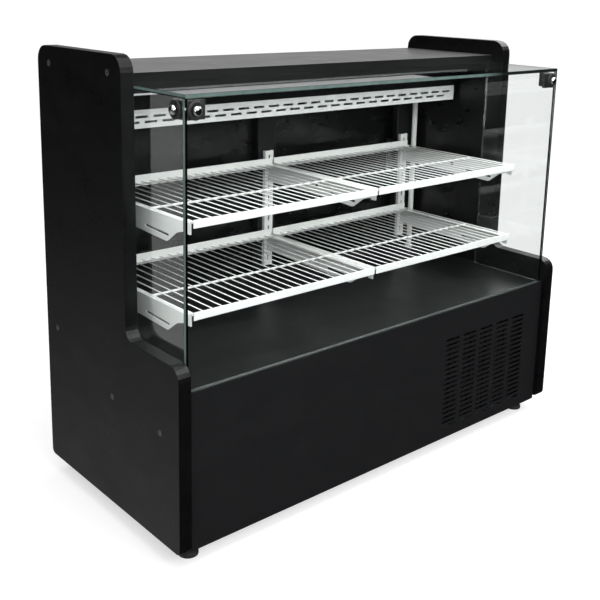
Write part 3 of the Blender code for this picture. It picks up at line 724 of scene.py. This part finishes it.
# ---------------------------------------------------------------- evaporator details
def housing_ends():
    """Folded end plates that close the air housing."""
    low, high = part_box("evaporator_housing")
    thick = 0.0012
    outline = (
        (low.y + 0.0004, low.z + 0.0004),
        (low.y + 0.0004, low.z + 0.0405),
        (low.y + 0.0404, high.z - 0.0005),
        (high.y - 0.0004, high.z - 0.0005),
        (high.y - 0.0004, low.z + 0.0004),
    )
    for side, x in (("left", low.x - thick - 0.0003), ("right", high.x + 0.0003)):
        cage = bmesh.new()
        near = [cage.verts.new((x, y, z)) for y, z in outline]
        far = [cage.verts.new((x + thick, y, z)) for y, z in outline]
        cage.faces.new(near)
        cage.faces.new(list(reversed(far)))
        for index in range(len(near)):
            following = (index + 1) % len(near)
            cage.faces.new((near[index], near[following], far[following], far[index]))
        piece = from_cage(f"housing_end_{side}", cage, LOOKS["white_steel"], CASE)
        round_edges(piece, 0.0004, 2)


def housing_shade_sheet():
    """A dark sheet over the slope above the housing's slotted front: painted shade on that slope."""
    low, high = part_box("evaporator_housing")
    foot_z, crest_z = low.z + 0.0412, high.z - 0.0012
    near_y, far_y = low.y - 0.0004, low.y + 0.0396
    outward = Vector((0, foot_z - crest_z, far_y - near_y)).normalized()
    lift, thick = outward * 0.0006, outward * 0.0014
    foot, crest = Vector((0, near_y, foot_z)), Vector((0, far_y, crest_z))
    corners = (foot + lift, crest + lift, crest + thick, foot + thick)
    cage = bmesh.new()
    left, right = low.x - 0.0006, high.x + 0.0006
    near = [cage.verts.new((left, corner.y, corner.z)) for corner in corners]
    far = [cage.verts.new((right, corner.y, corner.z)) for corner in corners]
    cage.faces.new(near)
    cage.faces.new(list(reversed(far)))
    for index in range(4):
        following = (index + 1) % 4
        cage.faces.new((near[index], near[following], far[following], far[index]))
    from_cage("housing_shade_sheet", cage, LOOKS["black_sheet"], CASE)


def tube_collars():
    """Moulded collars where the drain tube meets the housing and the deck."""
    low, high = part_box("drain_tube")
    middle = (low + high) / 2
    collar = ((0.0084, 0.0), (0.0130, 0.0), (0.0130, 0.0022), (0.0102, 0.0052), (0.0084, 0.0052))
    cage = bmesh.new()
    ring = list(collar) + [collar[0]]
    put_turned(cage, ring, Matrix.Translation((middle.x, middle.y, low.z)), 28)
    flipped = Matrix.Translation((middle.x, middle.y, high.z)) @ Matrix.Rotation(math.pi, 4, "X")
    put_turned(cage, ring, flipped, 28)
    bmesh.ops.remove_doubles(cage, verts=cage.verts, dist=0.000001)
    from_cage("drain_collars", cage, LOOKS["white_plastic"], CASE)


# ---------------------------------------------------------------- machine compartment
def refrigeration_pipes():
    """Copper lines between compressor, condenser and the riser to the evaporator."""
    low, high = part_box("compressor")
    centre = (low + high) / 2
    coil_low, coil_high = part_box("condenser_coil")
    pipe(
        "discharge_line",
        (
            (centre.x - 0.060, centre.y - 0.02, low.z + 0.150),
            (centre.x - 0.120, centre.y - 0.02, low.z + 0.150),
            (centre.x - 0.125, centre.y - 0.02, low.z + 0.220),
            (centre.x - 0.125, coil_high.y + 0.030, low.z + 0.225),
            (coil_low.x - 0.012, coil_high.y - 0.010, low.z + 0.225),
            (coil_low.x - 0.012, coil_high.y - 0.024, low.z + 0.180),
            (coil_low.x + 0.004, coil_high.y - 0.024, low.z + 0.176),
        ),
        0.0032,
        COPPER,
    )
    pipe(
        "suction_line",
        (
            (centre.x + 0.055, centre.y + 0.02, low.z + 0.160),
            (centre.x + 0.120, centre.y + 0.03, low.z + 0.165),
            (centre.x + 0.150, centre.y + 0.06, low.z + 0.180),
            (centre.x + 0.170, centre.y + 0.09, low.z + 0.240),
            (centre.x + 0.170, centre.y + 0.09, low.z + 0.310),
        ),
        0.0048,
        COPPER,
    )


def condenser_baffles():
    """Thin sheets beside the condenser that keep the warm air from coming back to the grille."""
    coil_low, coil_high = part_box("condenser_coil")
    floor_low, floor_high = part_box("base_floor")
    thick = 0.0010
    near, far = coil_low.y + 0.0020, coil_low.y + 0.0020 + thick
    foot_z = floor_low.z + 0.0030
    cage = bmesh.new()
    put_box(cage, (coil_high.x + 0.0010, near, foot_z), (floor_high.x - 0.0040, far, coil_high.z + 0.020))
    put_box(cage, (coil_low.x - 0.090, near, foot_z), (coil_low.x - 0.0010, far, coil_high.z + 0.020))
    baffles = from_cage("condenser_baffles", cage, LOOKS["black_sheet"], CASE)
    round_edges(baffles, 0.0003, 1)


def floor_seals():
    """Rubber strips that close the corners between the floor pan and the end boards."""
    low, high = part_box("base_floor")
    cage = bmesh.new()
    floor_z = low.z + 0.0017
    width, height = 0.0060, 0.0055
    for outer, inner in ((low.x, low.x + width), (high.x, high.x - width)):
        left, right = min(outer, inner), max(outer, inner)
        put_box(cage, (left, low.y + 0.004, floor_z), (right, high.y - 0.001, floor_z + height))
    seals = from_cage("floor_seals", cage, LOOKS["foot_rubber"], CASE)
    round_edges(seals, 0.0012, 2)


def compressor_feet():
    """Rubber grommets and bolts in the compressor's base flange."""
    low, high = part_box("compressor")
    centre = (low + high) / 2
    bolt_circle = 0.089
    grommet = ((0.0, 0.0), (0.0095, 0.0), (0.0095, 0.003), (0.0070, 0.006), (0.0, 0.006))
    bolt_head = ((0.0, 0.0), (0.0052, 0.0), (0.0052, 0.0034), (0.0044, 0.0040), (0.0, 0.0040))
    cage = bmesh.new()
    bolts = bmesh.new()
    for index in range(4):
        angle = math.radians(45 + 90 * index)
        x, y = centre.x + bolt_circle * math.cos(angle), centre.y + bolt_circle * math.sin(angle)
        place = Matrix.Translation((x, y, low.z + 0.0102))
        put_turned(cage, grommet, place, 24)
        top = Matrix.Translation((x, y, low.z + 0.0162))
        put_turned(bolts, bolt_head, top, 6)
    from_cage("compressor_grommets", cage, LOOKS["foot_rubber"], CASE)
    from_cage("compressor_bolts", bolts, LOOKS["galvanised"], CASE)


# ---------------------------------------------------------------- rear details
def pan_head(cage, place, radius=0.0042):
    """A domed screw head with a cross recess drawn by its ring."""
    profile = (
        (0.0, -0.0004),
        (radius, -0.0004),
        (radius, 0.0005),
        (radius * 0.82, 0.0015),
        (radius * 0.5, 0.0020),
        (radius * 0.34, 0.0020),
        (radius * 0.22, 0.0011),
        (0.0, 0.0011),
    )
    put_turned(cage, profile, place, 20)


def rear_screws():
    """Screws round the rear service panel and the control plate."""
    low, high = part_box("base_back_panel")
    cage = bmesh.new()
    turn = Matrix.Rotation(math.radians(-90), 4, "X")
    across = 6
    for index in range(across):
        x = low.x + 0.030 + (high.x - low.x - 0.060) * index / (across - 1)
        for z in (low.z + 0.012, high.z - 0.010):
            pan_head(cage, Matrix.Translation((x, high.y, z)) @ turn)
    from_cage("rear_panel_screws", cage, LOOKS["galvanised"], CASE)
    low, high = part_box("control_plate")
    cage = bmesh.new()
    for x in (low.x + 0.009, high.x - 0.009):
        for z in (low.z + 0.009, high.z - 0.009):
            pan_head(cage, Matrix.Translation((x, high.y, z)) @ turn, 0.0034)
    from_cage("control_plate_screws", cage, LOOKS["galvanised"], CASE)


def dial_marks():
    """Moulded ticks round the thermostat dial."""
    low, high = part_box("thermostat_knob")
    plate_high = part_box("control_plate")[1]
    centre_x, centre_z = (low.x + high.x) / 2, (low.z + high.z) / 2
    cage = bmesh.new()
    for index in range(10):
        angle = math.radians(90 + 27 + 30 * index)
        place = Matrix.Translation((centre_x, plate_high.y + 0.0002, centre_z))
        place = place @ Matrix.Rotation(-angle, 4, "Y") @ Matrix.Translation((0.0235, 0, 0))
        size = Matrix.Diagonal((0.0042, 0.0006, 0.0011, 1.0))
        bmesh.ops.create_cube(cage, size=1.0, matrix=place @ size)
    piece = from_cage("dial_marks", cage, LOOKS["white_plastic"], CASE)
    round_edges(piece, 0.0002, 1)


def door_bumpers():
    """Rubber bumpers along the outer edges of the two rear leaves."""
    for side, sign in (("left", -1), ("right", 1)):
        low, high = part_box(f"door_{side}_leaf")
        middle_y = (low.y + high.y) / 2
        outer = low.x if sign < 0 else high.x
        cage = bmesh.new()
        edge = outer + sign * 0.0012
        first, second = sorted((outer + sign * 0.0002, edge + sign * 0.0008))
        start = (first, middle_y - 0.0030, low.z + 0.004)
        end = (second, middle_y + 0.0030, high.z - 0.004)
        put_box(cage, start, end)
        piece = from_cage(f"door_{side}_bumper", cage, LOOKS["foot_rubber"], f"door_{side}")
        round_edges(piece, 0.0006, 2)


# ---------------------------------------------------------------- feet
def foot_nuts():
    """Zinc lock nuts above the rubber soles."""
    for row in ("front", "rear"):
        for side in ("left", "right"):
            node = f"foot_{row}_{side}"
            low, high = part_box(node)
            middle = (low + high) / 2
            place = Matrix.Translation((middle.x, middle.y, 0.0272))
            ring = ((0.0064, 0.0), (0.0104, 0.0), (0.0112, 0.0010), (0.0112, 0.0060),
                    (0.0104, 0.0070), (0.0064, 0.0070), (0.0064, 0.0))
            cage = bmesh.new()
            put_turned(cage, ring, place, 6)
            bmesh.ops.remove_doubles(cage, verts=cage.verts, dist=0.000001)
            body = f"levelling_{row}_{side}"
            piece = from_cage(f"{node}_nut", cage, LOOKS["galvanised"], body)
            for face in piece.data.polygons:
                face.use_smooth = False


# ---------------------------------------------------------------- stage, lights and camera
FLOOR_GLOW = 0.56


def stage():
    cage = bmesh.new()
    bmesh.ops.create_grid(cage, x_segments=1, y_segments=1, size=150.0)
    mesh = bpy.data.meshes.new("studio_floor")
    cage.to_mesh(mesh)
    cage.free()
    floor = bpy.data.objects.new("studio_floor", mesh)
    floor.location = (0, 0, -0.0002)
    white = Finish("studio_floor_white", (0.55, 0.55, 0.55), 0.75)
    white.bump(white.noise(40.0, 2.0), 0.0001)
    white.shader.inputs["Emission Color"].default_value = (1.0, 1.0, 1.0, 1.0)
    white.shader.inputs["Emission Strength"].default_value = FLOOR_GLOW
    mesh.materials.append(white.material)
    floor.visible_glossy = False
    floor.visible_transmission = False
    SCENE.collection.objects.link(floor)


AMBIENT_LIGHT, BEHIND_LIGHT, BELOW_LIGHT = 0.010, 0.44, 0.40


def world():
    """White to the camera, and dark in front of the case, where nothing shines into its glass."""
    surround = bpy.data.worlds.new("studio")
    surround.use_nodes = True
    nodes, links = surround.node_tree.nodes, surround.node_tree.links
    nodes.clear()
    output = nodes.new("ShaderNodeOutputWorld")
    white = nodes.new("ShaderNodeBackground")
    white.inputs["Color"].default_value = (1.0, 1.0, 1.0, 1.0)
    white.inputs["Strength"].default_value = 1.05
    soft = nodes.new("ShaderNodeBackground")
    direction = nodes.new("ShaderNodeTexCoord").outputs["Generated"]

    def toward(axis, start, end, strength):
        """Light that grows as a direction turns toward an axis."""
        along = nodes.new("ShaderNodeVectorMath")
        along.operation = "DOT_PRODUCT"
        along.inputs[1].default_value = Vector(axis).normalized()
        links.new(direction, along.inputs[0])
        share = nodes.new("ShaderNodeMapRange")
        share.interpolation_type = "SMOOTHSTEP"
        for key, value in (("From Min", start), ("From Max", end), ("To Min", 0.0), ("To Max", strength)):
            share.inputs[key].default_value = value
        links.new(along.outputs["Value"], share.inputs["Value"])
        return share.outputs["Result"]

    def total(first, second):
        added = nodes.new("ShaderNodeMath")
        added.operation = "ADD"
        links.new(first, added.inputs[0])
        if isinstance(second, float):
            added.inputs[1].default_value = second
        else:
            links.new(second, added.inputs[1])
        return added.outputs["Value"]

    behind = toward((0.62, 0.78, 0.05), 0.50, 0.95, BEHIND_LIGHT)
    below = toward((-0.45, 0.30, -0.84), 0.58, 0.92, BELOW_LIGHT)
    links.new(total(total(behind, below), AMBIENT_LIGHT), soft.inputs["Strength"])
    ray = nodes.new("ShaderNodeLightPath")
    through = nodes.new("ShaderNodeMath")
    through.operation = "MULTIPLY"
    links.new(ray.outputs["Is Transmission Ray"], through.inputs[0])
    links.new(toward((0.0, 1.0, 0.0), 0.0, 0.1, 1.0), through.inputs[1])
    seen = nodes.new("ShaderNodeMath")
    seen.operation = "MAXIMUM"
    links.new(ray.outputs["Is Camera Ray"], seen.inputs[0])
    links.new(through.outputs["Value"], seen.inputs[1])
    mixed = nodes.new("ShaderNodeMixShader")
    links.new(seen.outputs["Value"], mixed.inputs["Fac"])
    links.new(soft.outputs["Background"], mixed.inputs[1])
    links.new(white.outputs["Background"], mixed.inputs[2])
    links.new(mixed.outputs["Shader"], output.inputs["Surface"])
    SCENE.world = surround
    SCENE.view_settings.view_transform = "Standard"


def softbox(name, place, target, size, power):
    light = bpy.data.lights.new(name, "AREA")
    light.shape = "RECTANGLE"
    light.size, light.size_y = size
    light.energy = power
    lamp = bpy.data.objects.new(name, light)
    lamp.location = place
    aim = Vector(target) - Vector(place)
    lamp.rotation_euler = aim.to_track_quat("-Z", "Y").to_euler()
    SCENE.collection.objects.link(lamp)
    return lamp


def lights():
    sun = bpy.data.lights.new("sky_light", "SUN")
    sun.energy = 2.7
    sun.angle = math.radians(80)
    lamp = bpy.data.objects.new("sky_light", sun)
    lamp.rotation_euler = (math.radians(16), math.radians(-8), 0)
    SCENE.collection.objects.link(lamp)
    softbox("front_softbox", (-0.2, -3.4, 2.6), (0.0, 0.0, 0.5), (2.4, 1.6), 74)
    softbox("key_softbox", (2.3, -0.9, 3.1), (0.0, 0.0, 0.6), (1.1, 1.1), 42)
    softbox("edge_softbox", (-3.0, -2.6, 1.0), (0.0, 0.0, 0.6), (0.8, 1.7), 15)
    softbox("left_softbox", (-3.6, -0.6, 2.0), (0.0, 0.0, 0.5), (1.8, 1.8), 10)
    softbox("right_softbox", (3.4, 0.8, 2.4), (0.0, 0.0, 0.6), (2.0, 1.8), 30)


AZIMUTH, ELEVATION, ROLL = -41.15, 12.40, 1.262
CAMERA_PLACE = (-1.5551, -1.6893, 1.1792)
LENS, SENSOR = 55.65, 36.0
SHIFT_Y = -0.1833


def camera():
    data = bpy.data.cameras.new("photo_camera")
    data.lens = LENS
    data.sensor_width = SENSOR
    data.shift_y = SHIFT_Y
    data.clip_end = 60.0
    turn, rise = math.radians(AZIMUTH), math.radians(ELEVATION)
    back = Vector((math.sin(turn) * math.cos(rise), -math.cos(turn) * math.cos(rise), math.sin(rise)))
    right = Vector((0, 0, 1)).cross(back).normalized()
    up = back.cross(right)
    tilt = math.radians(ROLL)
    rolled_right = right * math.cos(tilt) + up * math.sin(tilt)
    rolled_up = up * math.cos(tilt) - right * math.sin(tilt)
    holder = bpy.data.objects.new("photo_camera", data)
    axes = Matrix((rolled_right, rolled_up, back)).transposed().to_4x4()
    holder.matrix_world = Matrix.Translation(CAMERA_PLACE) @ axes
    SCENE.collection.objects.link(holder)
    SCENE.camera = holder


dress_frame()
shelves()
glass_knobs()
clip_screws()
glass_edges()
glass_seals()
screw_caps()
housing_ends()
housing_shade_sheet()
tube_collars()
refrigeration_pipes()
condenser_baffles()
floor_seals()
compressor_feet()
rear_screws()
dial_marks()
door_bumpers()
foot_nuts()
stage()
world()
lights()
camera()
